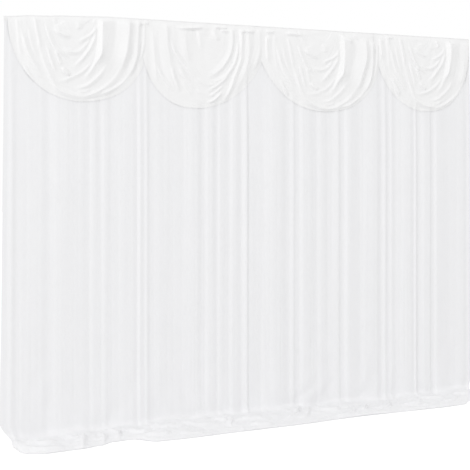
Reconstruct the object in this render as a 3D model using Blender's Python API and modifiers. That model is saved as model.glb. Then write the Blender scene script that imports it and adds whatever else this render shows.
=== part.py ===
"""White backdrop curtain, 4 m wide and 3 m high: a gathered curtain and four swags on one heading band.

Metres, +Z up. The origin is the middle of the heading's top edge, and the front faces -Y.
"Forward" below is the distance in front of the heading's back, that is, minus Y.
"""

from collections import namedtuple

import bmesh
import bpy
import numpy as np

# Driving dimensions
WIDTH = 4.0
HEIGHT = 3.0
CLOTH_THICK = 0.002
HEADING_THICK = 0.003
HEADING_TALL = 0.050
SEWN_GAP = 0.0005  # between two pieces where they are sewn together
CURTAIN_SEAM = 0.034  # from the top edge down to the curtain's upper edge
SWAG_SEAM = 0.020  # from the top edge down to the swags' upper edge

# The left end of the top edge hangs a little: how far it is below the rest, across the width
Droop = namedtuple("Droop", "x drop")
TOP_DROOP = [
    Droop(-2.00, 0.040),
    Droop(-1.75, 0.022),
    Droop(-1.50, 0.010),
    Droop(-1.20, 0.000),
    Droop(2.00, 0.000),
]

# Hanging folds of the curtain from left to right: where a fold's left side rises and how wide that side
# is, where its right side falls and how wide that side is, and its depth under the swags and at the foot
Fold = namedtuple("Fold", "left left_width right right_width top foot")
CURTAIN_FOLDS = [
    Fold(-1.945, 0.032, -1.912, 0.039, 0.0049, 0.0053),
    Fold(-1.820, 0.128, -1.701, 0.052, 0.0061, 0.0053),
    Fold(-1.635, 0.072, -1.490, 0.286, 0.0084, 0.0065),
    Fold(-1.590, 0.036, -1.395, 0.052, 0.0038, 0.0027),
    Fold(-1.360, 0.032, -1.302, 0.065, 0.0053, 0.0038),
    Fold(-1.275, 0.032, -1.230, 0.058, 0.0080, 0.0053),
    Fold(-1.147, 0.112, -1.024, 0.052, 0.0061, 0.0049),
    Fold(-1.001, 0.026, -0.970, 0.039, 0.0046, 0.0042),
    Fold(-0.996, 0.028, -0.920, 0.033, 0.0038, 0.0034),
    Fold(-0.946, 0.024, -0.920, 0.039, 0.0057, 0.0042),
    Fold(-0.860, 0.080, -0.790, 0.156, 0.0034, 0.0034),
    Fold(-0.610, 0.096, -0.512, 0.052, 0.0099, 0.0065),
    Fold(-0.458, 0.044, -0.384, 0.065, 0.0091, 0.0076),
    Fold(-0.351, 0.028, -0.293, 0.065, 0.0065, 0.0046),
    Fold(-0.243, 0.034, -0.184, 0.052, 0.0091, 0.0068),
    Fold(-0.142, 0.046, -0.108, 0.026, 0.0152, 0.0114),
    Fold(0.060, 0.144, 0.204, 0.091, 0.0152, 0.0125),
    Fold(0.266, 0.036, 0.301, 0.031, 0.0084, 0.0065),
    Fold(0.355, 0.044, 0.465, 0.104, 0.0114, 0.0099),
    Fold(0.517, 0.040, 0.580, 0.065, 0.0076, 0.0057),
    Fold(0.655, 0.064, 0.709, 0.034, 0.0106, 0.0091),
    Fold(0.764, 0.036, 0.849, 0.130, 0.0137, 0.0110),
    Fold(0.943, 0.104, 1.076, 0.058, 0.0144, 0.0118),
    Fold(1.124, 0.032, 1.153, 0.036, 0.0103, 0.0076),
    Fold(1.192, 0.022, 1.221, 0.046, 0.0065, 0.0046),
    Fold(1.279, 0.072, 1.397, 0.052, 0.0095, 0.0084),
    Fold(1.425, 0.016, 1.447, 0.026, 0.0072, 0.0068),
    Fold(1.320, 0.064, 1.450, 0.023, 0.0065, 0.0061),
    Fold(1.500, 0.048, 1.587, 0.029, 0.0125, 0.0114),
    Fold(1.635, 0.029, 1.710, 0.117, 0.0103, 0.0091),
    Fold(1.870, 0.112, 1.940, 0.044, 0.0072, 0.0068),
    Fold(1.970, 0.024, 2.002, 0.021, 0.0057, 0.0053),
]
HANG_FORWARD = 0.024  # of the flat cloth between the folds, once they have opened out
FOLDS_CHANGE_FROM = 0.7  # below the top edge, where the folds start to pass to their depth at the foot
PLAIN_COLUMNS = [-1.84, -1.12, -0.72, 1.84]  # points across the wide flat stretches and folds
LEAST_COLUMN_GAP = 0.012

# How far the hanging cloth's foot stands to the right of its top, across the width
Lean = namedtuple("Lean", "x right")
CURTAIN_LEAN = [
    Lean(-2.00, -0.010),
    Lean(-1.60, 0.000),
    Lean(-0.40, 0.000),
    Lean(-0.28, -0.020),
    Lean(-0.15, 0.000),
]

# Levels of the hanging cloth: how far below the top edge, how open the folds are there, and how far the
# two side edges have swept inwards and up on their way onto the floor
Level = namedtuple("Level", "below open inwards lifted")
HANGING_LEVELS = [
    Level(CURTAIN_SEAM, 0.00, 0.000, 0.000),
    Level(0.10, 0.12, 0.000, 0.000),
    Level(0.30, 0.36, 0.000, 0.000),
    Level(0.60, 0.78, 0.000, 0.000),
    Level(1.00, 1.06, 0.000, 0.000),
    Level(2.60, 1.00, 0.000, 0.000),
    Level(2.90, 1.00, 0.016, 0.010),
]

# The heap on the floor, from the foot of the hanging cloth to its front edge: share of the way forward,
# height of the cloth there, how much of that height the uneven lie of the cloth adds or takes, and how
# much of the hanging folds is left
Lie = namedtuple("Lie", "share height uneven folds")
HEAP = [
    Lie(0.06, 0.042, 0.15, 0.80),
    Lie(0.20, 0.054, 0.30, 0.50),
    Lie(0.40, 0.034, 0.40, 0.30),
    Lie(0.60, 0.044, 0.30, 0.20),
    Lie(0.80, 0.022, 0.40, 0.10),
    Lie(0.93, 0.026, 0.20, 0.05),
    Lie(1.00, 0.000, 0.00, 0.00),
]

# The two waves that make the heap uneven along the floor: how long, and how much of the unevenness
Lump = namedtuple("Lump", "length part")
HEAP_LUMPS = [Lump(0.31, 0.6), Lump(0.83, 0.4)]

# How far the heap's front edge lies forward, across the width
Reach = namedtuple("Reach", "x forward")
HEAP_REACH = [
    Reach(-2.00, 0.300),
    Reach(-1.90, 0.350),
    Reach(-1.78, 0.385),
    Reach(-1.53, 0.370),
    Reach(-1.40, 0.340),
    Reach(-1.28, 0.280),
    Reach(-1.14, 0.270),
    Reach(-1.00, 0.405),
    Reach(-0.79, 0.415),
    Reach(-0.40, 0.400),
    Reach(0.03, 0.395),
    Reach(0.74, 0.355),
    Reach(1.45, 0.370),
    Reach(1.67, 0.360),
    Reach(1.81, 0.270),
    Reach(2.00, 0.150),
]
EDGE_SWEEP_LENGTH = 0.20  # of the width at each end where the side edge sweeps down onto the floor
EDGE_SWEEP_LIFT = 0.030  # how high the left edge still is where the folds next to it meet the floor
RIGHT_SWEEP = 0.5  # how much of the left edge's sweep the right edge has
EDGE_INWARDS = 0.056  # how far the left edge has swept inwards where it meets the floor
EDGE_TUCK = 0.028  # how much further inwards it swings on its way forward

# Folds of a swag from the innermost to the hem: where each one starts and ends as a share of the swag's
# width, how deep it hangs, where it is lowest, and how square its left and right halves are (2 is round)
Scoop = namedtuple("Scoop", "left right drop low square_left square_right")
PLEATED_SWAG = [
    Scoop(0.360, 0.590, 0.170, 0.46, 1.3, 1.3),
    Scoop(0.325, 0.615, 0.265, 0.46, 1.3, 1.4),
    Scoop(0.290, 0.640, 0.380, 0.47, 1.5, 1.5),
    Scoop(0.250, 0.660, 0.455, 0.46, 1.6, 1.7),
    Scoop(0.210, 0.685, 0.500, 0.50, 1.7, 2.0),
    Scoop(0.175, 0.720, 0.535, 0.52, 1.8, 2.1),
    Scoop(0.095, 0.840, 0.565, 0.53, 2.0, 2.5),
    Scoop(0.045, 0.930, 0.580, 0.52, 2.1, 2.5),
    Scoop(0.000, 1.000, 0.594, 0.51, 2.1, 2.4),
]
ROUND_SWAG = [
    Scoop(0.420, 0.600, 0.200, 0.50, 1.6, 1.6),
    Scoop(0.350, 0.670, 0.385, 0.50, 1.8, 1.9),
    Scoop(0.270, 0.750, 0.470, 0.49, 1.9, 2.0),
    Scoop(0.210, 0.800, 0.535, 0.48, 2.0, 2.0),
    Scoop(0.145, 0.860, 0.580, 0.47, 2.1, 2.0),
    Scoop(0.070, 0.940, 0.606, 0.44, 2.3, 2.0),
    Scoop(0.000, 1.000, 0.626, 0.42, 2.4, 1.9),
]
# The swags: their two ends along the top edge, and how much deeper than its pattern each one hangs
Swag = namedtuple("Swag", "name left right deeper scoops")
SWAGS = [
    Swag("swag_1", -1.960, -0.905, 1.00, PLEATED_SWAG),
    Swag("swag_2", -0.980, 0.085, 1.00, ROUND_SWAG),
    Swag("swag_3", -0.032, 1.120, 1.05, PLEATED_SWAG),
    Swag("swag_4", 1.045, 1.992, 1.02, PLEATED_SWAG),
]
SWAG_COLUMNS = 13
SWAG_END_STEP = 0.035  # of the way along a fold, where it has sprung clear of its sewn end
HEADING_COLUMNS = 16
SWAG_TOP_STEP = 0.025  # share of the width from the innermost fold's pleats in to the flat middle
SWAG_CREASE_SHARE = 0.35  # of the way from one fold to the next, where the crease under it runs
SWAG_FOLD_DEPTH = 0.012  # from a fold's ridge back to its crease, at the middle of the swag
SWAG_SIDE_DEPTH = 0.004  # the same where the pleats are sewn down
SWAG_LIFT = 0.020  # how far the cloth springs forward below its seam, within SWAG_LIFT_DROP
SWAG_LIFT_DROP = 0.020
SWAG_LEAN = 0.020  # how much further forward the cloth is for each metre that it hangs down
SWAG_OVERLAP_WIDTH = 0.20  # of a swag's left end, which lies over the right end of the swag before it
SWAG_OVERLAP_LIFT = 0.012  # how much further forward that end lies
SWAG_BELLY = 0.012  # how far the middle bellies out past the sides


def eased(rows, x):
    """The second column of the rows at x, eased from one row to the next without a corner."""
    at = np.array([row[0] for row in rows])
    value = np.array([row[1] for row in rows])
    i = np.clip(np.searchsorted(at, x) - 1, 0, len(at) - 2)
    t = np.clip((x - at[i]) / (at[i + 1] - at[i]), 0.0, 1.0)
    return value[i] + (value[i + 1] - value[i]) * t * t * (3 - 2 * t)


def fabric(name, color, roughness):
    """A plain Principled cloth."""
    material = bpy.data.materials.new(name)
    material.use_nodes = True
    shader = material.node_tree.nodes["Principled BSDF"]
    shader.inputs["Base Color"].default_value = (*color, 1.0)
    shader.inputs["Roughness"].default_value = roughness
    shader.inputs["Metallic"].default_value = 0.0
    return material


def sheet(name, points, thick, material, collection):
    """A cloth through a grid of points [row, column, xyz], given its thickness by Solidify."""
    rows, columns = points.shape[:2]
    grid = bmesh.new()
    bmesh.ops.create_grid(grid, x_segments=columns - 1, y_segments=rows - 1, size=1.0)
    for vert in grid.verts:
        column = round((vert.co.x + 1) / 2 * (columns - 1))
        row = round((1 - vert.co.y) / 2 * (rows - 1))
        vert.co = points[row, column]
    bmesh.ops.recalc_face_normals(grid, faces=grid.faces)
    mesh = bpy.data.meshes.new(name)
    grid.to_mesh(mesh)
    grid.free()
    mesh.shade_smooth()
    mesh.materials.append(material)
    cloth = bpy.data.objects.new(name, mesh)
    collection.objects.link(cloth)
    solidify = cloth.modifiers.new("thickness", "SOLIDIFY")
    solidify.thickness = thick
    solidify.offset = 0.0
    return cloth


def add_heading(collection, material):
    """The band along the top edge, flat and upright, its back in the plane Y = 0."""
    x = np.linspace(-WIDTH / 2, WIDTH / 2, HEADING_COLUMNS + 1)
    points = np.empty((2, len(x), 3))
    points[:, :, 0] = x
    points[:, :, 1] = -HEADING_THICK / 2
    points[0, :, 2] = -eased(TOP_DROOP, x)
    points[1, :, 2] = -eased(TOP_DROOP, x) - HEADING_TALL
    sheet("heading", points, HEADING_THICK, material, collection)


def curtain_columns():
    """Where the curtain's columns of points stand: at both ends of each side of each fold."""
    half_width = WIDTH / 2
    stands = [-half_width, half_width, *PLAIN_COLUMNS]
    for fold in CURTAIN_FOLDS:
        stands += [fold.left - fold.left_width / 2, fold.left + fold.left_width / 2]
        stands += [fold.right - fold.right_width / 2, fold.right + fold.right_width / 2]
    kept = [-half_width]
    for stand in sorted(stands):
        if stand - kept[-1] > LEAST_COLUMN_GAP and stand <= half_width:
            kept.append(stand)
    kept[-1] = half_width
    return np.array(kept)


def fold_forward(x, below):
    """How far the folds stand before the flat cloth at x, at a level below the top edge."""
    change = np.clip((below - FOLDS_CHANGE_FROM) / (HEIGHT - FOLDS_CHANGE_FROM), 0, 1)
    forward = np.zeros_like(x)
    for fold in CURTAIN_FOLDS:
        risen = np.clip((x - fold.left) / fold.left_width + 0.5, 0, 1)
        fallen = np.clip((x - fold.right) / fold.right_width + 0.5, 0, 1)
        forward += (fold.top + (fold.foot - fold.top) * change) * (risen - fallen)
    return forward


def add_curtain(collection, material):
    """The gathered cloth: it hangs from the heading in its folds, then lies forward on the floor."""
    x = curtain_columns()
    lean = eased(CURTAIN_LEAN, x)
    seam_forward = HEADING_THICK + SEWN_GAP + CLOTH_THICK / 2
    ends = np.clip((np.abs(x) - WIDTH / 2) / EDGE_SWEEP_LENGTH + 1, 0, 1) ** 2
    ends *= np.where(x < 0, 1.0, RIGHT_SWEEP)
    inwards = -np.sign(x) * ends
    lump = sum(wave.part * np.sin(2 * np.pi * x / wave.length) for wave in HEAP_LUMPS)
    reach = eased(HEAP_REACH, x)
    rows = []
    for level in HANGING_LEVELS:
        down = level.below / HEIGHT
        folds = fold_forward(x, level.below)
        forward = seam_forward + (HANG_FORWARD - seam_forward + folds) * level.open
        z = -level.below - eased(TOP_DROOP, x) * (1 - down) + level.lifted * ends
        rows.append(np.stack([x + lean * down + inwards * level.inwards, -forward, z], axis=1))
    for lie in HEAP:
        forward = HANG_FORWARD + fold_forward(x, HEIGHT) * lie.folds
        forward += (reach - HANG_FORWARD) * lie.share
        height = CLOTH_THICK / 2 + lie.height * (1 + lie.uneven * lump * (1 - ends)) * (1 - ends / 2)
        height += EDGE_SWEEP_LIFT * ends * (1 - lie.share) ** 2
        swept = inwards * (EDGE_INWARDS + EDGE_TUCK * lie.share)
        rows.append(np.stack([x + lean + swept, -forward, height - HEIGHT], axis=1))
    sheet("curtain", np.array(rows), CLOTH_THICK, material, collection)


def scoop_line(scoop, swag, across):
    """x and z of one draped line of a swag, from its left pleat to its right one."""
    along = -np.cos(np.pi * across)  # from -1 at the left pleat to 1 at the right one
    is_left = along < 0
    half = np.where(is_left, scoop.low - scoop.left, scoop.right - scoop.low)
    square = np.where(is_left, scoop.square_left, scoop.square_right)
    span = swag.right - swag.left
    x = swag.left + span * (scoop.low + half * along)
    drop = swag.deeper * scoop.drop * (1 - np.abs(along) ** square).clip(0) ** (1 / square)
    return x, drop


def add_swag(swag, collection, material):
    """One swag: draped lines from pleat to pleat, each fold a ridge with a crease under it."""
    across = np.linspace(0, 1, SWAG_COLUMNS + 1)
    across = np.concatenate([[0, SWAG_END_STEP], across[1:-1], [1 - SWAG_END_STEP, 1]])
    sag = np.sin(np.pi * across)
    innermost = swag.scoops[0]
    top_left, top_right = innermost.left + SWAG_TOP_STEP, innermost.right - SWAG_TOP_STEP
    top = innermost._replace(left=top_left, right=top_right, drop=0.0)
    lines = [(top, 0.0)]
    for inner, outer in zip([top, *swag.scoops], swag.scoops):
        mix = np.array(inner) + (np.array(outer) - np.array(inner)) * SWAG_CREASE_SHARE
        lines += [(Scoop(*mix), -0.5), (outer, 0.5)]
    lines[-1] = (lines[-1][0], 0.0)  # the hem lies flat
    rows = []
    for scoop, ridge in lines:
        x, drop = scoop_line(scoop, swag, across)
        forward = HEADING_THICK + SEWN_GAP + CLOTH_THICK / 2
        forward = forward + SWAG_LIFT * (1 - np.exp(-drop / SWAG_LIFT_DROP)) + SWAG_LEAN * drop
        forward += SWAG_BELLY * sag * drop / swag.scoops[-1].drop
        depth = SWAG_SIDE_DEPTH + (SWAG_FOLD_DEPTH - SWAG_SIDE_DEPTH) * sag
        forward += ridge * depth * (drop / SWAG_LIFT_DROP).clip(0, 1)
        if swag is not SWAGS[0]:
            forward += SWAG_OVERLAP_LIFT * (1 - (x - swag.left) / SWAG_OVERLAP_WIDTH).clip(0, 1)
        z = -SWAG_SEAM - eased(TOP_DROOP, x) - drop
        rows.append(np.stack([x, -forward, z], axis=1))
    sheet(swag.name, np.array(rows), CLOTH_THICK, material, collection)


def build():
    """Clears the scene and makes the backdrop."""
    for thing in list(bpy.data.objects):
        bpy.data.objects.remove(thing, do_unlink=True)
    collection = bpy.data.collections.new("backdrop_curtain")
    bpy.context.scene.collection.children.link(collection)
    add_heading(collection, fabric("heading_cloth", (0.90, 0.90, 0.90), 0.60))
    add_curtain(collection, fabric("curtain_cloth", (0.89, 0.89, 0.90), 0.50))
    swag_cloth = fabric("swag_cloth", (0.91, 0.91, 0.91), 0.42)
    for swag in SWAGS:
        add_swag(swag, collection, swag_cloth)


build()
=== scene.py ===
"""The looks of a white swagged backdrop curtain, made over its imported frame.

Metres, +Z up, front towards -Y. The origin is the middle of the heading's top edge.
"""

import bmesh
import bpy
import numpy as np
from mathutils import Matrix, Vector


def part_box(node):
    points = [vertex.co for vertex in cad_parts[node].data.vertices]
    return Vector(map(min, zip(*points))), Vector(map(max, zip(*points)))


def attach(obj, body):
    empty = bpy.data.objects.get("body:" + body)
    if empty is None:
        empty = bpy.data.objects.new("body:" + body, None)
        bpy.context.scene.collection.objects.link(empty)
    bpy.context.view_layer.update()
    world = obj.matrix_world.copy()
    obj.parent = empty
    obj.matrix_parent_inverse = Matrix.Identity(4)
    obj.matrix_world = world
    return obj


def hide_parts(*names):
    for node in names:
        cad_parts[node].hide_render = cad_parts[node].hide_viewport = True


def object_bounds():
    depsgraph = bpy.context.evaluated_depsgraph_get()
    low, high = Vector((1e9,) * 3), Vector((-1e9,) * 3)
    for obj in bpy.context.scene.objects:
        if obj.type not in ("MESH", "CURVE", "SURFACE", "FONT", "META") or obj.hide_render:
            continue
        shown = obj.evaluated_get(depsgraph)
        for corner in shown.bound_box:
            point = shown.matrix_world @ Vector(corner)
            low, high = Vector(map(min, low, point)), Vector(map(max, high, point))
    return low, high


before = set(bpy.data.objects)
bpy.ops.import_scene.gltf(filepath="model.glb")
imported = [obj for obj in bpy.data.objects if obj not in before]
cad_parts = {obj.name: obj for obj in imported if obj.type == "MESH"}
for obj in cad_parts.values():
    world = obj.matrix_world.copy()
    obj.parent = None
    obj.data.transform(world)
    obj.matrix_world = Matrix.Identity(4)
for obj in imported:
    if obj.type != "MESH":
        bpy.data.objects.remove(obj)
frame_low, frame_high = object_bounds()


# ---------------------------------------------------------------------------------------------------------
# Heading band: a flat strip of the curtain's own polyester, folded double at the top edge. It runs the
# whole width, and the gathered curtain and the swags are sewn to its front. Its left end sags.
# ---------------------------------------------------------------------------------------------------------
heading_low, heading_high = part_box("heading")
band_tall = 0.050
band_thick = 0.003
band_columns = 500
band_ripple = 0.0008
band_ripple_wide = 0.05
band_end_in = 0.018
band_white = (0.90, 0.90, 0.90)

# Across the width, how far the top edge sags
end_droops = [(-2.00, 0.040), (-1.75, 0.022), (-1.50, 0.010), (-1.20, 0.000), (2.00, 0.000)]

# The cloth's surface, the same all over the backdrop
sheen_roughness = 0.45
cloth_specular = 0.35
cloud_scale = 5.0
cloud_detail = 4.0
gloss_varies = 0.06
crinkle_scale = 55.0
crinkle_detail = 3.0
rib_apart = 0.0012
rib_wander = 0.6
loop_apart = 0.0010
knit_deep = 0.0001
wave_repeat = 0.314  # a Wave texture of scale 1 repeats at this distance


def eased(rows, x):
    """The second value of the rows at x, passing from row to row without a corner."""
    at = np.array([row[0] for row in rows])
    value = np.array([row[1] for row in rows])
    i = np.clip(np.searchsorted(at, x) - 1, 0, len(at) - 2)
    t = np.clip((x - at[i]) / (at[i + 1] - at[i]), 0.0, 1.0)
    return value[i] + (value[i + 1] - value[i]) * t * t * (3 - 2 * t)


def waver(x, y, seed):
    """Smooth uneven variation between about -1 and 1, one bump to each unit of x and y. Where y is a plain
    number, it varies along x alone."""
    x, y = np.broadcast_arrays(np.asarray(x, float), np.asarray(y, float))
    dice = np.random.default_rng(seed)
    table = dice.uniform(-1, 1, (64, 64))
    ix, iy = np.floor(x).astype(int), np.floor(y).astype(int)
    tx, ty = x - ix, y - iy
    tx, ty = tx * tx * (3 - 2 * tx), ty * ty * (3 - 2 * ty)
    ix, iy = ix % 64, iy % 64
    jx, jy = (ix + 1) % 64, (iy + 1) % 64
    low = table[ix, iy] * (1 - tx) + table[jx, iy] * tx
    high = table[ix, jy] * (1 - tx) + table[jx, jy] * tx
    return low * (1 - ty) + high * ty


def cloth_grid(name, points):
    """An object from a grid of points [row, column, xyz], smooth shaded, facing the front."""
    rows, columns = points.shape[:2]
    index = np.arange(rows * columns).reshape(rows, columns)
    corners = [index[:-1, :-1], index[1:, :-1], index[1:, 1:], index[:-1, 1:]]
    faces = np.stack([corner.ravel() for corner in corners], axis=1)
    mesh = bpy.data.meshes.new(name)
    mesh.from_pydata(points.reshape(-1, 3).tolist(), [], faces.tolist())
    mesh.update()
    mesh.shade_smooth()
    piece = bpy.data.objects.new(name, mesh)
    bpy.context.scene.collection.objects.link(piece)
    return piece


def knit_material(name, color, roughness, sheen, mottle, crinkle):
    """White polyester: a fine knit and small crinkles in the bump, a soft sheen, and an uneven tone."""
    material = bpy.data.materials.new(name)
    material.use_nodes = True
    nodes, links = material.node_tree.nodes, material.node_tree.links
    shader = nodes["Principled BSDF"]
    shader.inputs["Metallic"].default_value = 0.0
    shader.inputs["Sheen Weight"].default_value = sheen
    shader.inputs["Sheen Roughness"].default_value = sheen_roughness
    shader.inputs["Specular IOR Level"].default_value = cloth_specular
    place = nodes.new("ShaderNodeTexCoord")

    # The tone and the gloss cloud over about a hand's breadth
    cloud = nodes.new("ShaderNodeTexNoise")
    cloud.inputs["Scale"].default_value = cloud_scale
    cloud.inputs["Detail"].default_value = cloud_detail
    tone = nodes.new("ShaderNodeMix")
    tone.data_type = "RGBA"
    tone.inputs["A"].default_value = (*[c * (1 - mottle) for c in color], 1.0)
    tone.inputs["B"].default_value = (*color, 1.0)
    gloss = nodes.new("ShaderNodeMapRange")
    gloss.inputs["To Min"].default_value = roughness + gloss_varies
    gloss.inputs["To Max"].default_value = roughness - gloss_varies
    links.new(place.outputs["Object"], cloud.inputs["Vector"])
    links.new(cloud.outputs["Fac"], tone.inputs["Factor"])
    links.new(cloud.outputs["Fac"], gloss.inputs["Value"])
    links.new(tone.outputs["Result"], shader.inputs["Base Color"])
    links.new(gloss.outputs["Result"], shader.inputs["Roughness"])

    # Crinkles one or two centimetres across
    crinkles = nodes.new("ShaderNodeTexNoise")
    crinkles.inputs["Scale"].default_value = crinkle_scale
    crinkles.inputs["Detail"].default_value = crinkle_detail
    crinkle_bump = nodes.new("ShaderNodeBump")
    crinkle_bump.inputs["Distance"].default_value = crinkle
    links.new(place.outputs["Object"], crinkles.inputs["Vector"])
    links.new(crinkles.outputs["Fac"], crinkle_bump.inputs["Height"])

    # The knit: upright ribs, and loops along them
    ribs = nodes.new("ShaderNodeTexWave")
    ribs.inputs["Scale"].default_value = wave_repeat / rib_apart
    ribs.inputs["Distortion"].default_value = rib_wander
    loops = nodes.new("ShaderNodeTexVoronoi")
    loops.inputs["Scale"].default_value = 1 / loop_apart
    knit = nodes.new("ShaderNodeMath")
    knit_bump = nodes.new("ShaderNodeBump")
    knit_bump.inputs["Distance"].default_value = knit_deep
    links.new(place.outputs["Object"], ribs.inputs["Vector"])
    links.new(place.outputs["Object"], loops.inputs["Vector"])
    links.new(ribs.outputs["Fac"], knit.inputs[0])
    links.new(loops.outputs["Distance"], knit.inputs[1])
    links.new(knit.outputs["Value"], knit_bump.inputs["Height"])
    links.new(crinkle_bump.outputs["Normal"], knit_bump.inputs["Normal"])
    links.new(knit_bump.outputs["Normal"], shader.inputs["Normal"])
    return material


band_x = np.linspace(heading_low.x + band_end_in, heading_high.x, band_columns)

# The band's section, forward and down as a share of its height: up the back, over the fold, down the front
band_fold = [(0.0006, 1.00), (0.0003, 0.92), (0.0003, 0.08), (0.0004, 0.02), (0.0015, 0.00)]
band_fold += [(band_thick - forward, down) for forward, down in reversed(band_fold[:-1])]
band_points = np.empty((len(band_fold), band_columns, 3))
for row, (forward, down) in enumerate(band_fold):
    ripple = band_ripple * (0.5 + 0.5 * waver(band_x / band_ripple_wide, down, 3)) * down * (1 - down)
    band_points[row, :, 0] = band_x
    band_points[row, :, 1] = -forward - ripple
    band_points[row, :, 2] = -eased(end_droops, band_x) - band_tall * down
heading = cloth_grid("heading_band", band_points)
heading_material = knit_material(
    "heading_cloth", band_white, roughness=0.6, sheen=0.1, mottle=0.03, crinkle=0.0003
)
heading.data.materials.append(heading_material)
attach(heading, "root")
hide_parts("heading")


# ---------------------------------------------------------------------------------------------------------
# Curtain: one wide cloth gathered onto the heading. It hangs straight in soft pipes with flat stretches
# between them, and its spare length lies forward on the floor in a low rumpled heap.
# ---------------------------------------------------------------------------------------------------------
curtain_high = 3.0
cloth_thick = 0.001
curtain_seam = 0.034
seam_forward = 0.0048
hang_forward = 0.024
curtain_columns = 800
half_width = 2.0
curtain_white = (0.889, 0.889, 0.900)

# Folds: where the left side rises and how wide that side is, where the right side falls and how wide that
# side is, and the depth under the swags and at the foot
curtain_folds = [
    (-1.945, 0.032, -1.912, 0.039, 0.0049, 0.0053),
    (-1.820, 0.128, -1.701, 0.052, 0.0061, 0.0053),
    (-1.635, 0.072, -1.490, 0.286, 0.0084, 0.0065),
    (-1.590, 0.036, -1.395, 0.052, 0.0038, 0.0027),
    (-1.360, 0.032, -1.302, 0.065, 0.0053, 0.0038),
    (-1.275, 0.032, -1.230, 0.058, 0.0080, 0.0053),
    (-1.147, 0.112, -1.024, 0.052, 0.0061, 0.0049),
    (-1.001, 0.026, -0.970, 0.039, 0.0046, 0.0042),
    (-0.996, 0.028, -0.920, 0.033, 0.0038, 0.0034),
    (-0.946, 0.024, -0.920, 0.039, 0.0057, 0.0042),
    (-0.860, 0.080, -0.790, 0.156, 0.0034, 0.0034),
    (-0.610, 0.096, -0.512, 0.052, 0.0099, 0.0065),
    (-0.458, 0.044, -0.384, 0.065, 0.0091, 0.0076),
    (-0.351, 0.028, -0.293, 0.065, 0.0065, 0.0046),
    (-0.243, 0.034, -0.184, 0.052, 0.0091, 0.0068),
    (-0.142, 0.046, -0.108, 0.026, 0.0152, 0.0114),
    (0.060, 0.144, 0.204, 0.091, 0.0152, 0.0125),
    (0.266, 0.036, 0.301, 0.031, 0.0084, 0.0065),
    (0.355, 0.044, 0.465, 0.104, 0.0114, 0.0099),
    (0.517, 0.040, 0.580, 0.065, 0.0076, 0.0057),
    (0.655, 0.064, 0.709, 0.034, 0.0106, 0.0091),
    (0.764, 0.036, 0.849, 0.130, 0.0137, 0.0110),
    (0.943, 0.104, 1.076, 0.058, 0.0144, 0.0118),
    (1.124, 0.032, 1.153, 0.036, 0.0103, 0.0076),
    (1.192, 0.022, 1.221, 0.046, 0.0065, 0.0046),
    (1.279, 0.072, 1.397, 0.052, 0.0095, 0.0084),
    (1.425, 0.016, 1.447, 0.026, 0.0072, 0.0068),
    (1.320, 0.064, 1.450, 0.023, 0.0065, 0.0061),
    (1.500, 0.048, 1.587, 0.029, 0.0125, 0.0114),
    (1.635, 0.029, 1.710, 0.117, 0.0103, 0.0091),
    (1.870, 0.112, 1.940, 0.044, 0.0072, 0.0068),
    (1.970, 0.024, 2.002, 0.021, 0.0057, 0.0053),
]

# How far below the top edge, and how open the folds are there
hanging_levels = [
    (curtain_seam, 0.00),
    (0.05, 0.03),
    (0.10, 0.12),
    (0.20, 0.24),
    (0.30, 0.36),
    (0.50, 0.66),
    (0.70, 0.90),
    (1.00, 1.06),
    (1.40, 1.06),
    (1.90, 1.00),
    (3.00, 1.00),
]

# Across the width, how far forward the heap's front edge lies
heap_reaches = [
    (-2.00, 0.300),
    (-1.90, 0.350),
    (-1.78, 0.385),
    (-1.53, 0.370),
    (-1.40, 0.340),
    (-1.28, 0.280),
    (-1.14, 0.270),
    (-1.00, 0.405),
    (-0.79, 0.415),
    (-0.40, 0.400),
    (0.03, 0.395),
    (0.74, 0.355),
    (1.45, 0.370),
    (1.67, 0.360),
    (1.81, 0.270),
    (2.00, 0.150),
]

# Across the width, how high the heap's back stands
heap_heights = [
    (-2.00, 0.018),
    (-1.88, 0.014),
    (-1.62, 0.020),
    (-1.48, 0.042),
    (-1.30, 0.030),
    (-1.17, 0.048),
    (-1.00, 0.040),
    (-0.82, 0.058),
    (-0.55, 0.044),
    (-0.30, 0.056),
    (-0.05, 0.040),
    (0.20, 0.050),
    (0.42, 0.034),
    (0.70, 0.052),
    (0.95, 0.036),
    (1.18, 0.024),
    (1.40, 0.044),
    (1.62, 0.038),
    (1.80, 0.050),
    (2.00, 0.040),
]

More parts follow.
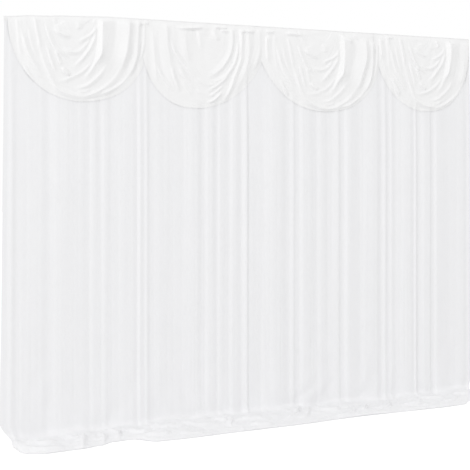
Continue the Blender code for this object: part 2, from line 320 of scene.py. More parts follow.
# Creases of the heap, and dents where the height is below zero: width of the side in the light, width of
# the shaded side, height, and the way that it runs, across the width and forward from the top edge's plane
heap_folds = [
    (0.070, 0.025, 0.018, [(-1.90, 0.15), (-1.82, 0.20), (-1.72, 0.21), (-1.64, 0.18)]),
    (0.060, 0.022, 0.014, [(-1.93, 0.26), (-1.85, 0.31), (-1.76, 0.325), (-1.66, 0.31), (-1.60, 0.28)]),
    (0.050, 0.020, 0.014, [(-1.60, 0.13), (-1.555, 0.175), (-1.50, 0.205)]),
    (0.030, 0.030, -0.014, [(-1.545, 0.165), (-1.515, 0.175)]),
    (0.060, 0.022, 0.016, [(-1.455, 0.12), (-1.475, 0.21), (-1.505, 0.30), (-1.54, 0.40)]),
    (0.050, 0.020, 0.013, [(-1.36, 0.10), (-1.33, 0.17), (-1.335, 0.25), (-1.37, 0.33)]),
    (0.060, 0.022, 0.016, [(-1.30, 0.08), (-1.24, 0.13), (-1.22, 0.20), (-1.26, 0.28)]),
    (0.035, 0.030, -0.020, [(-1.185, 0.14), (-1.165, 0.165)]),
    (0.050, 0.018, 0.015, [(-1.13, 0.09), (-1.10, 0.16), (-1.04, 0.21), (-0.97, 0.22)]),
    (0.045, 0.018, 0.014, [(-1.08, 0.27), (-1.00, 0.31), (-0.92, 0.32), (-0.85, 0.29)]),
    (0.060, 0.020, 0.014, [(-0.98, 0.12), (-0.92, 0.17), (-0.84, 0.19), (-0.76, 0.17)]),
    (0.050, 0.020, 0.012, [(-0.82, 0.36), (-0.72, 0.345), (-0.62, 0.35)]),
    (0.060, 0.022, 0.013, [(-0.72, 0.12), (-0.66, 0.18), (-0.58, 0.21), (-0.48, 0.20)]),
    (0.045, 0.016, 0.015, [(-0.45, 0.12), (-0.40, 0.17), (-0.375, 0.23)]),
    (0.045, 0.018, 0.014, [(-0.34, 0.11), (-0.32, 0.17), (-0.345, 0.25), (-0.39, 0.31)]),
    (0.060, 0.022, 0.014, [(-0.28, 0.16), (-0.20, 0.22), (-0.10, 0.24), (0.00, 0.22)]),
    (0.050, 0.020, 0.012, [(-0.24, 0.33), (-0.14, 0.345), (-0.05, 0.33)]),
    (0.055, 0.018, 0.016, [(0.05, 0.30), (0.12, 0.27), (0.20, 0.22), (0.26, 0.15), (0.30, 0.09)]),
    (0.050, 0.018, 0.015, [(0.17, 0.31), (0.25, 0.27), (0.32, 0.20), (0.37, 0.12)]),
    (0.060, 0.020, 0.014, [(0.40, 0.13), (0.46, 0.19), (0.54, 0.21), (0.63, 0.18)]),
    (0.050, 0.020, 0.013, [(0.48, 0.31), (0.57, 0.325), (0.66, 0.30), (0.72, 0.25)]),
    (0.050, 0.018, 0.018, [(0.72, 0.30), (0.78, 0.27), (0.84, 0.22), (0.88, 0.15)]),
    (0.060, 0.020, 0.014, [(0.90, 0.30), (0.98, 0.27), (1.05, 0.22), (1.10, 0.16)]),
    (0.050, 0.016, 0.020, [(1.12, 0.24), (1.20, 0.275), (1.29, 0.28), (1.36, 0.25)]),
    (0.055, 0.020, 0.014, [(1.38, 0.15), (1.46, 0.19), (1.55, 0.195), (1.63, 0.17)]),
    (0.045, 0.018, 0.014, [(1.50, 0.28), (1.58, 0.27), (1.66, 0.24), (1.72, 0.19)]),
    (0.050, 0.020, 0.012, [(1.70, 0.12), (1.78, 0.15), (1.87, 0.15), (1.95, 0.12)]),
    (0.026, 0.026, -0.016, [(-0.96, 0.10), (-0.92, 0.115), (-0.88, 0.11)]),
    (0.018, 0.018, -0.012, [(-0.86, 0.215), (-0.81, 0.235), (-0.76, 0.225)]),
    (0.020, 0.020, -0.015, [(0.13, 0.265), (0.20, 0.215), (0.27, 0.160), (0.34, 0.110)]),
    (0.020, 0.020, -0.014, [(0.73, 0.335), (0.80, 0.315), (0.88, 0.295), (0.96, 0.265)]),
    (0.020, 0.020, -0.015, [(1.13, 0.235), (1.19, 0.285), (1.27, 0.310), (1.37, 0.320)]),
]


folds_change_from = 0.7


def folds_at(x, below):
    """How far the hanging folds stand before the flat cloth."""
    share = np.clip((below - folds_change_from) / (curtain_high - folds_change_from), 0, 1)
    forward = np.zeros(np.broadcast(x, share).shape)
    for left, left_wide, right, right_wide, top, foot in curtain_folds:
        up = np.clip((x - left) / left_wide + 0.5, 0, 1)
        down = np.clip((x - right) / right_wide + 0.5, 0, 1)
        risen = up * up * (3 - 2 * up) - down * down * (3 - 2 * down)
        forward = forward + (top + (foot - top) * share) * risen
    return forward


# A crease's shaded side faces this way over the cloth, its crest is rounded off, its sides fall a little
# hollow, and it dies out over this share of its length
shade_way = (0.94, 0.33)
crest_radius = 0.0025
crest_hollow = 1.2
crease_dies = 0.3


def smooth_way(points, steps=5):
    """A smooth line through a few points, as many points on it as asked for between each two."""
    points = np.array(points, float)
    ends = np.concatenate([[2 * points[0] - points[1]], points, [2 * points[-1] - points[-2]]])
    way = []
    for a, b, c, d in zip(ends, ends[1:], ends[2:], ends[3:]):
        t = np.arange(steps)[:, None] / steps
        bend, twist = 2 * a - 5 * b + 4 * c - d, 3 * b - a - 3 * c + d
        way.append(0.5 * (2 * b + (c - a) * t + bend * t**2 + twist * t**3))
    return np.concatenate([*way, points[-1:]])


def crease(x, y, lit, shaded, height, points, sewn=0.0):
    """Height of one crease over places x, y of a cloth. Its side to the left and away is lit and its side
    to the right and near is shaded. It dies out at both ends, but not at one that starts before sewn."""
    way = smooth_way(points)
    length = np.concatenate([[0], np.cumsum(np.hypot(*np.diff(way, axis=0).T))])
    nearest = np.full(x.shape, np.inf)
    at, turned = np.zeros(x.shape), np.zeros(x.shape)
    for (ax, ay), (bx, by), start in zip(way, way[1:], length):
        span = np.hypot(bx - ax, by - ay)
        t = (((x - ax) * (bx - ax) + (y - ay) * (by - ay)) / span**2).clip(0, 1)
        off_x, off_y = x - ax - t * (bx - ax), y - ay - t * (by - ay)
        gap = np.hypot(off_x, off_y)
        closer = gap < nearest
        nearest = np.where(closer, gap, nearest)
        turned = np.where(closer, (shade_way[0] * off_x + shade_way[1] * off_y) / (gap + 1e-6), turned)
        at = np.where(closer, start + t * span, at)
    wide = 0.5 * (lit + shaded) + 0.5 * (shaded - lit) * turned
    rounded = np.sqrt(nearest**2 + crest_radius**2) - crest_radius
    fall = 1 - (rounded / wide).clip(0, 1)
    fade = crease_dies * length[-1]
    first = 1.0 if points[0][1] < sewn else (at / fade).clip(0, 1)
    last = 1.0 if points[-1][1] < sewn else ((length[-1] - at) / fade).clip(0, 1)
    dying = first * first * (3 - 2 * first) * last * last * (3 - 2 * last)
    return height * fall**crest_hollow * dying


# The columns stand closer together where a fold is steep
fold_samples = 8001
open_level = 1.4
fine_x = np.linspace(-half_width, half_width, fold_samples)
slope = np.gradient(folds_at(fine_x, open_level), fine_x)
travel = np.concatenate([[0], np.cumsum(np.sqrt(1 + slope[1:] ** 2) * np.diff(fine_x))])
column_x = np.interp(np.linspace(0, travel[-1], curtain_columns), travel, fine_x)

# Some folds lean sideways on their way down, and near the floor the side edges are drawn in, the left more
foot_leans = [(-2.0, -0.02), (-1.9, -0.01), (-1.6, 0.0), (-0.4, 0.0), (-0.28, -0.02), (-0.15, 0.0)]
end_wide = 0.20
right_end_share = 0.5
lean = np.interp(column_x, [at for at, _ in foot_leans], [by for _, by in foot_leans])
nearness = np.clip((np.abs(column_x) - half_width) / end_wide + 1, 0, 1)
ends = nearness**2 * np.where(column_x < 0, 1.0, right_end_share)
reach = eased(heap_reaches, column_x)
droop = eased(end_droops, column_x)

# Small gathers at the seam run out downwards, and near the foot the folds slump a little
gather_width = 0.018
gather_depth = 0.0035
gather_run = 0.3
gather_starts = 0.02
gather_length = 0.22
slump_start = 2.45
slump_grows = 0.4
slump_depth = 0.006
slump_width = 0.10
slump_run = 0.22
slump_least = 0.6
slump_wander = 1.5
wander_size = (0.4, 0.3)
foot_rows = np.arange(2.4, 2.91, 0.02)
hanging_rows = np.concatenate([[level[0] for level in hanging_levels[:-1]], foot_rows])

# Long faint ripples between the folds: depth, width, length and seed
hanging_ripples = [(0.0016, 0.035, 0.8, 11), (0.0006, 0.016, 1.2, 15)]


def hanging_forward(x, below):
    """How far forward the hanging cloth stands at a place below the top edge."""
    levels, openness = zip(*hanging_levels)
    opened = np.interp(below, levels, openness)
    forward = seam_forward + (hang_forward - seam_forward + folds_at(x, below)) * opened
    for depth, width, length, seed in hanging_ripples:
        forward = forward + depth * opened * waver(x / width, below / length, seed)
    gathers = 0.5 + 0.5 * waver(x / gather_width, below / gather_run, 12)
    fading = ((below - curtain_seam) / gather_starts).clip(0, 1) * np.exp(-below / gather_length)
    return forward + gather_depth * gathers * fading


side_sweep = 0.083
sweep_high = 0.15


def swept(z):
    """How far the side edges have drawn inwards where the cloth nears the floor."""
    near = (1 - (z + curtain_high) / sweep_high).clip(0, 1)
    return -np.sign(column_x) * side_sweep * ends * near * near * (3 - 2 * near)


# The cloth's top left corner is drawn in to the end of the band
corner_wide = 0.06
top_in = band_end_in * ((corner_wide - half_width - column_x) / corner_wide).clip(0, 1)
curtain_rows = []
for below in hanging_rows:
    down = below / curtain_high
    forward = hanging_forward(column_x, below)
    slump = min(1, max(0, (below - slump_start) / slump_grows))
    wander = slump_wander * waver(column_x / wander_size[0], below / wander_size[1], 14)
    slumped = slump_least + waver(column_x / slump_width + wander, below / slump_run, 13)
    forward = forward + slump_depth * slump * slumped
    z = -below - droop * (1 - down)
    x = column_x + top_in * (1 - down) + lean * down + swept(z)
    curtain_rows.append(np.stack([x, -forward, z], axis=1))

# Where the cloth reaches the floor it turns forward, at an uneven height above the floor
turn_rows = 10
turn_reach = 0.055
turn_uneven = 0.020
turn_uneven_wide = 0.24
turn_forward = turn_reach + turn_uneven * waver(column_x / turn_uneven_wide, 0.5, 22)
back_uneven = 0.010
back_uneven_wide = 0.10
back_puckers = 0.006
back_pucker_wide = 0.04
back_ends_rise = 0.024
back_lowest = 0.008
last_hanging = curtain_rows[-1]
foot = -last_hanging[:, 1]
foot_z = last_hanging[:, 2] + curtain_high
lying_z = eased(heap_heights, column_x) + back_uneven * waver(column_x / back_uneven_wide, 0.5, 21)
lying_z = lying_z + back_ends_rise * ends
lying_z = (lying_z + back_puckers * waver(column_x / back_pucker_wide, 0.5, 24)).clip(back_lowest)
for row in range(1, turn_rows):
    angle = 0.5 * np.pi * row / turn_rows
    z = lying_z + (foot_z - lying_z) * (1 - np.sin(angle)) ** 1.25
    forward = foot + turn_forward * (1 - np.cos(angle)) ** 1.2
    x = column_x + lean + swept(z - curtain_high)
    curtain_rows.append(np.stack([x, -forward, z - curtain_high], axis=1))

# In front of the turn it lies in a low puffed heap, creased and crumpled, which thins out to its hem
heap_rows = 66
heap_puff = 0.020
heap_uneven = 0.010
uneven_size = (0.21, 0.11)
hem_thick = 0.006
crease_strength = 1.12
crease_leans = 0.55
crease_bends = (0.012, 0.010)
bend_sizes = ((0.09, 0.07), (0.08, 0.07))
crumple_depth = 0.0035
crumple_size = (0.09, 0.045)
crinkle_depth = 0.0012
crinkle_size = (0.022, 0.020)
crease_starts = 0.08
folds_left_over = 0.3
ends_flatter = 0.4
ends_tuck = 0.010
edge_roll = 0.035
edge_roll_down = 0.8
cloth_lowest = 0.004
front = foot + turn_forward
share = (np.arange(heap_rows + 1) / heap_rows)[:, None]
reached = front + (reach - front) * share
across = np.broadcast_to(column_x, reached.shape)
puff = heap_puff * np.sin(np.pi * share**0.8).clip(0) ** 0.7
puff = puff + heap_uneven * waver(across / uneven_size[0], reached / uneven_size[1], 31)
(wide_x, long_x), (wide_y, long_y) = bend_sizes
bent_x = across + crease_bends[0] * waver(across / wide_x, reached / long_x, 32)
bent_y = reached + crease_bends[1] * waver(across / wide_y, reached / long_y, 33)
creased = np.zeros(reached.shape)
for lit, shaded, tall, points in heap_folds:
    creased = creased + crease_strength * crease(bent_x, bent_y, lit, shaded, tall, points)
crumpled = np.abs(waver(across / crumple_size[0] + 2 * share, reached / crumple_size[1], 34))
crumple = crumple_depth * (1 - 2 * crumpled)
crumple = crumple + crinkle_depth * waver(across / crinkle_size[0], reached / crinkle_size[1], 35)
inward = (share / crease_starts).clip(0, 1)
calm = (1 - share).clip(0, 1) ** 2
low = lying_z * calm + hem_thick * (1 - calm)
left_over = calm * folds_left_over * (foot - hang_forward)
z = low + (puff * (1 - ends_flatter * ends) + creased + crumple + left_over) * inward
forward = reached + crease_leans * creased.clip(0) * inward
tuck = swept(lying_z - curtain_high) - ends_tuck * np.sign(across) * ends * share
rolled = ((np.abs(across) - half_width) / edge_roll + 1).clip(0, 1) ** 2
z = z * (1 - edge_roll_down * rolled)
for row in range(1, heap_rows + 1):
    heap_z = z[row].clip(cloth_lowest) + cloth_thick - curtain_high
    curtain_rows.append(np.stack([across[row] + lean + tuck[row], -forward[row], heap_z], axis=1))

# The hem at the front turns under itself: steps forward, and heights as shares of the hem's own
hem_turn = [(0.004, 0.60), (0.003, 0.25), (-0.006, 0.00)]
front_row = curtain_rows[-1]
for forward_step, height_share in hem_turn:
    lower = front_row.copy()
    lower[:, 1] -= forward_step
    lower[:, 2] = (front_row[:, 2] + curtain_high - cloth_thick) * height_share + cloth_thick - curtain_high
    curtain_rows.append(lower)

curtain = cloth_grid("curtain_cloth", np.array(curtain_rows))
curtain_material = knit_material(
    "curtain_cloth", curtain_white, roughness=0.5, sheen=0.2, mottle=0.03, crinkle=0.0005
)
curtain.data.materials.append(curtain_material)
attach(curtain, "root")
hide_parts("curtain")


# ---------------------------------------------------------------------------------------------------------
# Swags: bias-cut pieces pleated at both ends and sewn over the gathers, so that they fall in scoops from
# pleat to pleat. Three have the same sharp pleats; the second from the left hangs in rounder folds.
# ---------------------------------------------------------------------------------------------------------
swag_seam = 0.008
swag_seam_forward = 0.0042
swag_seam_step = 0.0035
swag_columns = 250
swag_rows = 170
swag_lift = 0.013
swag_lift_drop = 0.070
swag_lean = 0.010
swag_belly = 0.009
# Painted light: the swags are the curtain's polyester, but their colour is set a little lighter to give
# them a brighter look
swag_white_painted_lighter = (0.908, 0.907, 0.908)

# How near the cloth and its hem lie to what is behind them, and how calm the folds are along the hem
curtain_gap = 0.0007
hem_lines = 1.5
hem_drawn_in = 0.97
hem_off = 0.0004
hem_stands = 0.0018
hem_stands_low = 8
hem_calms = 0.7
hem_calm_lines = 0.35
neighbours_from = -1.9
neighbour_gap = 0.0030
neighbour_wide = 0.14

# Lines of a swag from the innermost to the hem: left and right ends and lowest point as shares of the
# width, depth, and how square the left and right halves are
pleated_lines = [
    (0.385, 0.565, 0.47, 0.000, 1.3, 1.3),
    (0.360, 0.590, 0.46, 0.160, 1.4, 1.4),
    (0.290, 0.640, 0.47, 0.340, 1.5, 1.5),
    (0.210, 0.700, 0.50, 0.470, 1.7, 2.0),
    (0.095, 0.850, 0.52, 0.555, 2.1, 2.5),
    (0.000, 1.000, 0.51, 0.604, 2.0, 2.4),
]
round_lines = [
    (0.440, 0.580, 0.50, 0.000, 1.5, 1.5),
    (0.380, 0.660, 0.50, 0.360, 1.8, 1.9),
    (0.250, 0.770, 0.49, 0.490, 1.9, 2.0),
    (0.120, 0.880, 0.46, 0.590, 2.1, 2.0),
    (0.000, 1.000, 0.42, 0.638, 2.4, 1.9),
]

# Folds of a swag: width of the side in the light, width of the shaded side, height, and the way that the
# fold runs, from the swag's left edge and below the top
pleated_folds = [
    (0.012, 0.046, 0.014, [(0.018, 0.020), (0.020, 0.110), (0.028, 0.220)]),
    (0.011, 0.034, 0.005, [(0.085, 0.020), (0.088, 0.120), (0.100, 0.220), (0.122, 0.300)]),
    (0.012, 0.036, 0.014, [
        (0.105, 0.060), (0.120, 0.145), (0.147, 0.238), (0.187, 0.316), (0.234, 0.386),
        (0.280, 0.435),
    ]),
    (0.010, 0.028, 0.007, [(0.142, 0.300), (0.172, 0.360), (0.212, 0.410), (0.260, 0.460)]),
    (0.010, 0.030, 0.007, [(0.155, 0.060), (0.170, 0.150), (0.195, 0.230), (0.230, 0.310)]),
    (0.009, 0.026, 0.010, [(0.205, 0.020), (0.214, 0.080), (0.230, 0.160), (0.250, 0.250)]),
    (0.013, 0.040, 0.014, [
        (0.222, 0.120), (0.236, 0.200), (0.265, 0.300), (0.298, 0.400), (0.329, 0.474),
        (0.370, 0.521), (0.435, 0.553), (0.517, 0.572), (0.583, 0.568), (0.684, 0.530),
        (0.767, 0.466), (0.835, 0.375), (0.872, 0.290),
    ]),
    (0.092, 0.052, 0.034, [
        (0.904, 0.010), (0.905, 0.120), (0.885, 0.220), (0.860, 0.300), (0.835, 0.370),
        (0.800, 0.420),
    ]),
    (0.045, 0.026, 0.022, [
        (0.980, 0.020), (0.980, 0.120), (0.972, 0.220), (0.952, 0.310), (0.912, 0.400), (0.860, 0.465),
    ]),
    (0.014, 0.034, 0.012, [(0.912, 0.400), (0.860, 0.465), (0.800, 0.510), (0.720, 0.550), (0.640, 0.578)]),
    (0.014, 0.030, 0.012, [(1.030, 0.020), (1.030, 0.140), (1.015, 0.240), (0.990, 0.330)]),
    (0.030, 0.118, 0.034, [(0.700, 0.010), (0.700, 0.110), (0.692, 0.210), (0.672, 0.290), (0.640, 0.360)]),
    (0.016, 0.034, 0.014, [
        (0.690, 0.160), (0.684, 0.220), (0.660, 0.300), (0.610, 0.395), (0.555, 0.462),
    ]),
    (0.011, 0.032, 0.012, [
        (0.738, 0.335), (0.690, 0.405), (0.630, 0.462), (0.555, 0.507), (0.470, 0.525),
    ]),
    (0.014, 0.032, 0.015, [
        (0.665, 0.080), (0.650, 0.140), (0.624, 0.200), (0.567, 0.277), (0.500, 0.348),
        (0.465, 0.375),
    ]),
    (0.011, 0.028, 0.010, [
        (0.640, 0.300), (0.592, 0.356), (0.534, 0.410), (0.468, 0.446), (0.410, 0.464),
        (0.345, 0.462),
    ]),
    (0.002, 0.036, 0.014, [(0.392, 0.372), (0.423, 0.400), (0.466, 0.436)]),
    (0.011, 0.028, 0.011, [
        (0.615, 0.160), (0.590, 0.195), (0.550, 0.232), (0.500, 0.257), (0.445, 0.254),
        (0.395, 0.222),
    ]),
    (0.011, 0.026, 0.012, [
        (0.655, 0.060), (0.640, 0.110), (0.600, 0.147), (0.550, 0.173), (0.505, 0.198),
    ]),
    (0.002, 0.040, 0.013, [(0.345, 0.085), (0.380, 0.120), (0.420, 0.142), (0.475, 0.165)]),
    (0.006, 0.030, 0.013, [
        (0.285, 0.040), (0.300, 0.100), (0.325, 0.165), (0.352, 0.222), (0.395, 0.265),
        (0.468, 0.305),
    ]),
    (0.007, 0.024, 0.011, [(0.352, 0.240), (0.378, 0.310), (0.405, 0.365)]),
    (0.008, 0.026, 0.012, [(0.290, 0.200), (0.312, 0.280), (0.345, 0.380), (0.368, 0.420)]),
    (0.060, 0.050, -0.008, [(0.380, 0.020), (0.400, 0.070)]),
    (0.024, 0.040, 0.007, [(0.520, 0.030), (0.530, 0.110)]),
    (0.011, 0.024, 0.011, [(0.120, 0.330), (0.147, 0.386), (0.172, 0.448), (0.210, 0.500)]),
    (0.010, 0.018, 0.007, [(0.150, 0.395), (0.180, 0.440), (0.210, 0.478)]),
    (0.010, 0.024, 0.007, [(0.500, 0.545), (0.560, 0.540), (0.620, 0.515)]),
]
round_folds = [
    (0.030, 0.040, 0.010, [
        (0.070, 0.030), (0.074, 0.180), (0.082, 0.300), (0.098, 0.420), (0.120, 0.490),
    ]),
    (0.011, 0.026, 0.010, [(0.100, 0.330), (0.125, 0.390), (0.178, 0.470), (0.235, 0.540)]),
    (0.066, 0.040, 0.015, [
        (0.185, 0.020), (0.186, 0.150), (0.190, 0.240), (0.202, 0.330), (0.224, 0.410),
        (0.257, 0.485), (0.290, 0.540),
    ]),
    (0.011, 0.024, 0.010, [(0.205, 0.330), (0.228, 0.400), (0.257, 0.474), (0.290, 0.540)]),
    (0.012, 0.030, 0.012, [
        (0.222, 0.100), (0.228, 0.180), (0.245, 0.240), (0.284, 0.290), (0.330, 0.345),
        (0.384, 0.400), (0.435, 0.440),
    ]),
    (0.011, 0.028, 0.009, [(0.262, 0.330), (0.310, 0.410), (0.365, 0.475), (0.410, 0.510)]),
    (0.010, 0.024, 0.007, [(0.290, 0.440), (0.340, 0.510), (0.400, 0.555)]),
    (0.060, 0.060, 0.012, [(0.330, 0.020), (0.335, 0.130), (0.345, 0.240), (0.370, 0.320)]),
    (0.012, 0.040, 0.007, [(0.400, 0.420), (0.460, 0.455), (0.530, 0.470), (0.600, 0.455)]),
    (0.012, 0.030, 0.006, [(0.400, 0.510), (0.460, 0.535), (0.540, 0.540)]),
    (0.034, 0.026, 0.014, [
        (0.480, 0.425), (0.547, 0.396), (0.620, 0.335), (0.677, 0.260), (0.705, 0.185),
        (0.718, 0.100), (0.720, 0.020),
    ]),
    (0.013, 0.026, 0.012, [
        (0.500, 0.455), (0.593, 0.430), (0.676, 0.370), (0.732, 0.294), (0.762, 0.200),
        (0.775, 0.100),
    ]),
    (0.012, 0.022, 0.012, [(0.505, 0.520), (0.565, 0.482), (0.630, 0.430), (0.685, 0.375)]),
    (0.010, 0.018, 0.010, [(0.505, 0.562), (0.565, 0.528), (0.610, 0.490), (0.650, 0.455)]),
    (0.011, 0.020, 0.014, [(0.500, 0.605), (0.565, 0.576), (0.602, 0.542), (0.636, 0.508)]),
    (0.018, 0.034, 0.016, [
        (0.600, 0.615), (0.632, 0.600), (0.667, 0.550), (0.694, 0.490), (0.722, 0.420),
        (0.752, 0.350), (0.785, 0.270), (0.800, 0.160), (0.800, 0.020),
    ]),
    (0.030, 0.050, 0.012, [
        (0.858, 0.020), (0.860, 0.160), (0.850, 0.260), (0.825, 0.350), (0.790, 0.430),
        (0.740, 0.500),
    ]),
    (0.050, 0.040, 0.012, [(0.955, 0.020), (0.950, 0.180), (0.925, 0.280), (0.885, 0.370)]),
    (0.050, 0.030, -0.008, [(0.525, 0.040), (0.535, 0.130)]),
    (0.020, 0.034, 0.009, [(0.560, 0.040), (0.580, 0.100), (0.600, 0.140)]),
    (0.020, 0.030, 0.007, [(0.440, 0.050), (0.450, 0.140), (0.470, 0.220)]),
]

# Places where the seam puckers and a short roll of cloth stands out under it
seam_rolls = {
    "swag_1": [(0.020, 0.010, 0.010, [(0.975, 0.035), (1.030, 0.045)])],
    "swag_2": [
        (0.022, 0.010, 0.012, [(0.000, 0.030), (0.050, 0.034)]),
        (0.026, 0.011, 0.016, [(0.250, 0.050), (0.330, 0.050), (0.410, 0.048), (0.500, 0.044)]),
        (0.022, 0.010, 0.012, [(0.560, 0.030), (0.640, 0.034), (0.700, 0.030)]),
        (0.024, 0.010, 0.014, [(0.780, 0.048), (0.860, 0.044), (0.930, 0.050)]),
        (0.016, 0.008, 0.009, [(0.620, 0.055), (0.700, 0.060)]),
    ],
    "swag_3": [
        (0.020, 0.010, 0.012, [(0.000, 0.040), (0.090, 0.046)]),
        (0.026, 0.011, 0.014, [(0.170, 0.046), (0.260, 0.048), (0.340, 0.056)]),
        (0.030, 0.016, 0.017, [(0.660, 0.030), (0.720, 0.050), (0.790, 0.085)]),
        (0.020, 0.010, 0.010, [(0.800, 0.030), (0.850, 0.055)]),
    ],
    "swag_4": [
        (0.020, 0.010, 0.009, [(0.060, 0.030), (0.160, 0.032)]),
        (0.020, 0.012, 0.010, [(0.560, 0.035), (0.590, 0.065), (0.570, 0.100)]),
    ],
}


def draped_line(line, across):
    """Shares across the width and depths of one line of a swag, from its left pleat to its right one."""
    left, right, low, depth, square_left, square_right = line
    along = -np.cos(np.pi * across)
    half = np.where(along < 0, low - left, right - low)
    square = np.where(along < 0, square_left, square_right)
    drop = depth * (1 - np.abs(along) ** square).clip(0) ** (1 / square)
    return low + half * along, drop


# How the folds wander and vary, the wrinkles between them, and where the cloth frees itself of the seam
fold_wander = 0.006
wander_wide = 0.15
fold_strength = 0.85
fold_strength_varies = 0.22
strength_wide = 0.12
folds_lowest = 0.7
wrinkle_depth = 0.0022
wrinkles = (3.0, 3.1)
wrinkle_patches = (5, 2)
small_wrinkle_depth = 0.0010
small_wrinkles = (7.0, 7.3)
crest_hangs = 0.25
swag_starts = 0.02
sewn_within = 0.025
seam_step_deep = 0.03
strip_fades = 0.030
curtain_from = 0.016
curtain_rises = 0.018
soft_stop = 0.0008


def swag_surface(plan, rolls):
    """Points of a swag, its lines drawn from the innermost one to the hem and its folds laid on them."""
    _, left, right, deeper, folds_left, folds_down, strip, lines, folds, seed = plan
    width = right - left
    across = np.linspace(0, 1, swag_columns + 1)
    lines = np.array(lines)
    stretched = 1 + deeper / lines[-1][3]
    place = np.linspace(0, len(lines) - 1, swag_rows + 1)
    x, drop = np.empty((2, swag_rows + 1, swag_columns + 1))
    for row, number in enumerate(place):
        inner = min(int(number), len(lines) - 2)
        line = lines[inner] + (lines[inner + 1] - lines[inner]) * (number - inner)
        share, depth = draped_line(line, across)
        x[row] = left + width * share
        drop[row] = depth * stretched
    droop = eased(end_droops, x)
    down = drop + swag_seam
    with_drape = place[:, None]
    near_hem = ((with_drape - (len(lines) - 1)) / hem_lines + 1).clip(0, 1)
    near_hem = near_hem * near_hem * (3 - 2 * near_hem)

    # The folds wander a little from their pattern, and each is stronger and weaker along its way
    fold_x = x - folds_left + fold_wander * waver(x / wander_wide, down / wander_wide, seed)
    fold_down = down + fold_wander * waver(x / wander_wide, down / wander_wide, seed + 1)
    sewn = sewn_within + folds_down
    raised = np.zeros(x.shape)
    for number, (lit, shaded, height, points) in enumerate(folds):
        patchy = waver(x / strength_wide, down / strength_wide + number, seed + 2)
        strength = fold_strength + fold_strength_varies * patchy
        lowered = [(a, b * stretched + folds_down * (1 - b / folds_lowest)) for a, b in points]
        raised += strength * crease(fold_x, fold_down, lit, shaded, height, lowered, sewn)
    fine = wrinkle_depth * waver(across * wrinkles[0], with_drape * wrinkles[1], seed + 3)
    fine = fine * (1 + waver(across * wrinkle_patches[0], with_drape * wrinkle_patches[1], seed + 5))
    small = waver(across * small_wrinkles[0], with_drape * small_wrinkles[1], seed + 4)
    fine = fine + small_wrinkle_depth * small
    started = (drop / swag_starts).clip(0, 1)
    lifted = swag_lift * (1 - np.exp(-drop / swag_lift_drop)) + swag_lean * drop
    lifted = lifted + swag_belly * np.sin(np.pi * ((x - left) / width).clip(0, 1)) * drop / drop.max()
    forward = swag_seam_forward + swag_seam_step * (drop / seam_step_deep).clip(0, 1) + lifted

    # What lies behind: the band, then the curtain, and at its left end the swag before it. The hem lies
    # close to that, and stands off it a little where it is lowest
    over_curtain = ((down - curtain_from) / curtain_rises).clip(0, 1)
    behind = band_thick + (curtain_forward(x, down) - band_thick) * over_curtain + curtain_gap
    over_neighbour = (left > neighbours_from) * neighbour_gap * (1 - (x - left) / neighbour_wide).clip(0, 1)
    hem_forward = behind + hem_off + over_neighbour + hem_stands * (drop / drop.max()) ** hem_stands_low
    forward = forward + (np.minimum(forward, hem_forward) - forward) * hem_drawn_in * near_hem
    hem_calm = 1 - hem_calms * ((with_drape - (len(lines) - 1)) / hem_calm_lines + 1).clip(0, 1)
    below_strip = ((down - strip) / strip_fades).clip(0, 1)
    raised = raised * below_strip * below_strip * (3 - 2 * below_strip)
    for lit, shaded, height, points in rolls:
        raised += crease(fold_x, fold_down, lit, shaded, height, points, sewn_within)
    forward = forward + (raised + fine) * started * hem_calm

    # No fold dips through what lies behind, and a fold's crest hangs over a little
    behind = behind + over_neighbour
    forward = behind + 0.5 * (forward - behind + np.sqrt((forward - behind) ** 2 + soft_stop**2))
    z = -down - droop - crest_hangs * raised * started
    return np.stack([x, -forward, z], axis=2)


def curtain_forward(x, below):
    """How far forward the curtain stands behind a swag, between the rows of its cloth."""
    row = np.searchsorted(hanging_rows, below).clip(1, len(hanging_rows) - 1)
    upper, lower = hanging_rows[row - 1], hanging_rows[row]
    t = ((below - upper) / (lower - upper)).clip(0, 1)
    return hanging_forward(x, upper) * (1 - t) + hanging_forward(x, lower) * t


# The swag cloth takes that colour, painted lighter than the curtain's
swag_material = knit_material(
    "swag_cloth", swag_white_painted_lighter, roughness=0.42, sheen=0.25, mottle=0.02, crinkle=0.0008
)

# Left and right ends of the seam, how much deeper than its pattern the swag hangs, where its folds are
# measured from, how far they begin below the pattern's, height of the flat strip at the seam, pattern, seed
swag_plans = [
    ("swag_1", -1.958, -0.900, 0.000, -1.976, 0.000, 0.010, pleated_lines, pleated_folds, 41),
    ("swag_2", -0.985, 0.092, 0.000, -0.954, 0.000, 0.024, round_lines, round_folds, 51),
    ("swag_3", -0.038, 1.126, 0.034, 0.044, 0.080, 0.034, pleated_lines, pleated_folds, 61),
    ("swag_4", 1.040, 1.996, 0.012, 1.081, 0.010, 0.026, pleated_lines, pleated_folds, 71),
]
for plan in swag_plans:
    node, left, right = plan[:3]
    swag = cloth_grid(node + "_cloth", swag_surface(plan, seam_rolls[node]))
    swag.data.materials.append(swag_material)
    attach(swag, "root")
    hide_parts(node)


# ---------------------------------------------------------------------------------------------------------
# Studio: a white floor and soft white light from everywhere, with a little more from the left. The floor
# and the room look whiter to the camera than they light the cloth.
# ---------------------------------------------------------------------------------------------------------
floor_half = 40
floor_white = (0.80, 0.80, 0.80, 1)
floor_glow_seen = 0.45
room_strength = 0.96
backdrop_strength = 1.0
floor_mesh = bpy.data.meshes.new("floor")
floor_grid = bmesh.new()
bmesh.ops.create_grid(floor_grid, x_segments=1, y_segments=1, size=floor_half)
floor_grid.to_mesh(floor_mesh)
floor_grid.free()
floor = bpy.data.objects.new("floor", floor_mesh)
floor.location.z = frame_low.z
bpy.context.scene.collection.objects.link(floor)
floor_paint = bpy.data.materials.new("floor_paint")
floor_paint.use_nodes = True
floor_shader = floor_paint.node_tree.nodes["Principled BSDF"]
floor_shader.inputs["Base Color"].default_value = floor_white
floor_shader.inputs["Roughness"].default_value = 1.0
floor_shader.inputs["Specular IOR Level"].default_value = 0.0
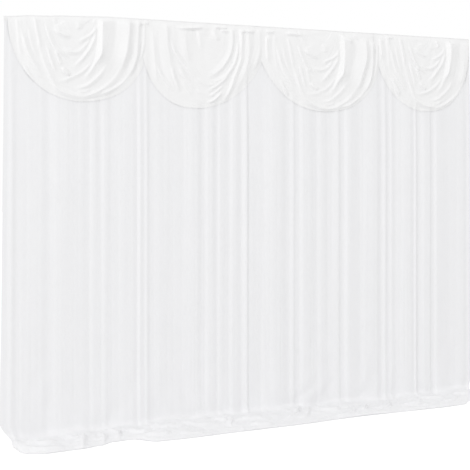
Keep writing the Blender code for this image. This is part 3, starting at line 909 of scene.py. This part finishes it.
floor_shader.inputs["Emission Color"].default_value = (1, 1, 1, 1)
floor_nodes, floor_links = floor_paint.node_tree.nodes, floor_paint.node_tree.links
floor_path = floor_nodes.new("ShaderNodeLightPath")
floor_glow = floor_nodes.new("ShaderNodeMapRange")
floor_glow.inputs["To Max"].default_value = floor_glow_seen
floor_links.new(floor_path.outputs["Is Camera Ray"], floor_glow.inputs["Value"])
floor_links.new(floor_glow.outputs["Result"], floor_shader.inputs["Emission Strength"])
floor_mesh.materials.append(floor_paint)

world = bpy.data.worlds.new("studio")
world.use_nodes = True
room_light = world.node_tree.nodes["Background"]
room_light.inputs["Color"].default_value = (1, 1, 1, 1)
room_nodes, room_links = world.node_tree.nodes, world.node_tree.links
room_path = room_nodes.new("ShaderNodeLightPath")
room_seen = room_nodes.new("ShaderNodeMapRange")
room_seen.inputs["To Min"].default_value = room_strength
room_seen.inputs["To Max"].default_value = backdrop_strength
room_links.new(room_path.outputs["Is Camera Ray"], room_seen.inputs["Value"])
room_links.new(room_seen.outputs["Result"], room_light.inputs["Strength"])
bpy.context.scene.world = world
bpy.context.scene.view_settings.view_transform = "Standard"


def add_light(name, place, aim, size, watts):
    """A square soft box at a place, turned towards a point."""
    lamp = bpy.data.lights.new(name, "AREA")
    lamp.size = size
    lamp.energy = watts
    light = bpy.data.objects.new(name, lamp)
    light.location = place
    light.rotation_euler = (Vector(aim) - Vector(place)).to_track_quat("-Z", "Y").to_euler()
    bpy.context.scene.collection.objects.link(light)
    return light


add_light("key_box", (-30.0, -20.0, 9.5), (0, 0, -1.6), 14.0, 2600)

# ---------------------------------------------------------------------------------------------------------
# Camera: level, at eye height, to the left of the middle, with the lens shifted down.
# ---------------------------------------------------------------------------------------------------------
lens = bpy.data.cameras.new("camera")
lens.sensor_width = 36
lens.lens = 85.9
lens.shift_y = -0.143
camera = bpy.data.objects.new("camera", lens)
camera.location = (-3.96, -7.66, -1.09)
camera.rotation_euler = (np.pi / 2, 0, -np.radians(26.13))
bpy.context.scene.collection.objects.link(camera)
bpy.context.scene.camera = camera
